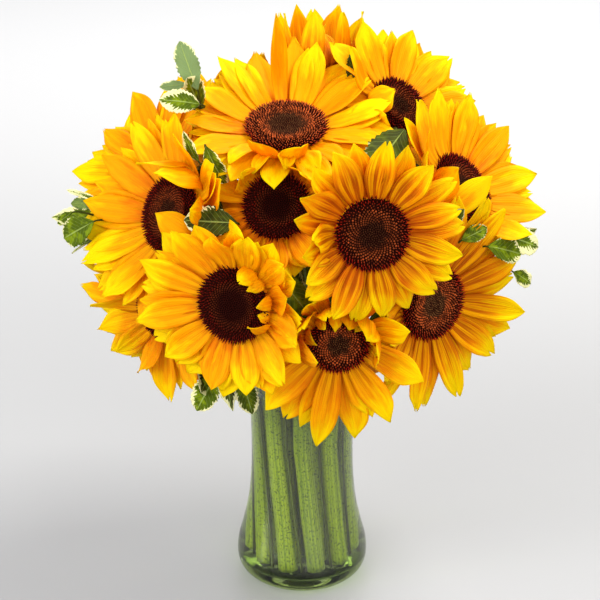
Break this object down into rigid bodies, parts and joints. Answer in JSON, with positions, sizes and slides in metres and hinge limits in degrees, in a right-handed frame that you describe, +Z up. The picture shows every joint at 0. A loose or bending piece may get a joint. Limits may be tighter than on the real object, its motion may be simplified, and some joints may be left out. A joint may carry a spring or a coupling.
{
  "type": "sunflowers in a vase",
  "caption": "Round bouquet of cut sunflowers with variegated foliage, standing in water in a flared, waisted clear glass vase.",
  "frame": {"origin": "centre of the vase's flat foot, on the surface that it stands on", "axes": "+Z up along the vase's axis, -Y towards the front of the bouquet, +X to the viewer's right"},
  "size_m": [0.3525, 0.2968, 0.4372],
  "materials": {
    "glass": "clear, slightly green glass",
    "water": "clear water",
    "petal": "golden yellow, darker orange at the root, softly grooved along its length",
    "disc": "matt dark maroon florets with a green-black middle",
    "stem": "light green, ribbed and finely haired",
    "leaf": "satin green with a jagged cream margin"
  },
  "bodies": {
    "root": {"bloom_back_disc": "disc", "bloom_back_left_disc": "disc", "bloom_back_left_petals": "petal", "bloom_back_left_stem": "stem", "bloom_back_petals": "petal", "bloom_back_right_disc": "disc", "bloom_back_right_petals": "petal", "bloom_back_right_stem": "stem", "bloom_back_stem": "stem", "bloom_bottom_disc": "disc", "bloom_bottom_petals": "petal", "bloom_bottom_stem": "stem", "bloom_centre_disc": "disc", "bloom_centre_petals": "petal", "bloom_centre_stem": "stem", "bloom_left_disc": "disc", "bloom_left_petals": "petal", "bloom_left_stem": "stem", "bloom_lower_left_disc": "disc", "bloom_lower_left_petals": "petal", "bloom_lower_left_stem": "stem", "bloom_lower_right_disc": "disc", "bloom_lower_right_petals": "petal", "bloom_lower_right_stem": "stem", "bloom_middle_disc": "disc", "bloom_middle_petals": "petal", "bloom_middle_stem": "stem", "bloom_outer_left_disc": "disc", "bloom_outer_left_petals": "petal", "bloom_outer_left_stem": "stem", "bloom_right_disc": "disc", "bloom_right_petals": "petal", "bloom_right_stem": "stem", "bloom_top_back_disc": "disc", "bloom_top_back_petals": "petal", "bloom_top_back_stem": "stem", "bloom_top_disc": "disc", "bloom_top_petals": "petal", "bloom_top_stem": "stem", "bloom_upper_left_disc": "disc", "bloom_upper_left_petals": "petal", "bloom_upper_left_stem": "stem", "bloom_upper_right_disc": "disc", "bloom_upper_right_petals": "petal", "bloom_upper_right_stem": "stem", "spray_back_left": "leaf", "spray_back_right": "leaf", "spray_centre_left": "leaf", "spray_centre_low": "leaf", "spray_left": "leaf", "spray_right": "leaf", "spray_rim_left": "leaf", "spray_top_right": "leaf", "spray_upper_left": "leaf", "vase": "glass", "water": "water"}
  },
  "joints": []
}
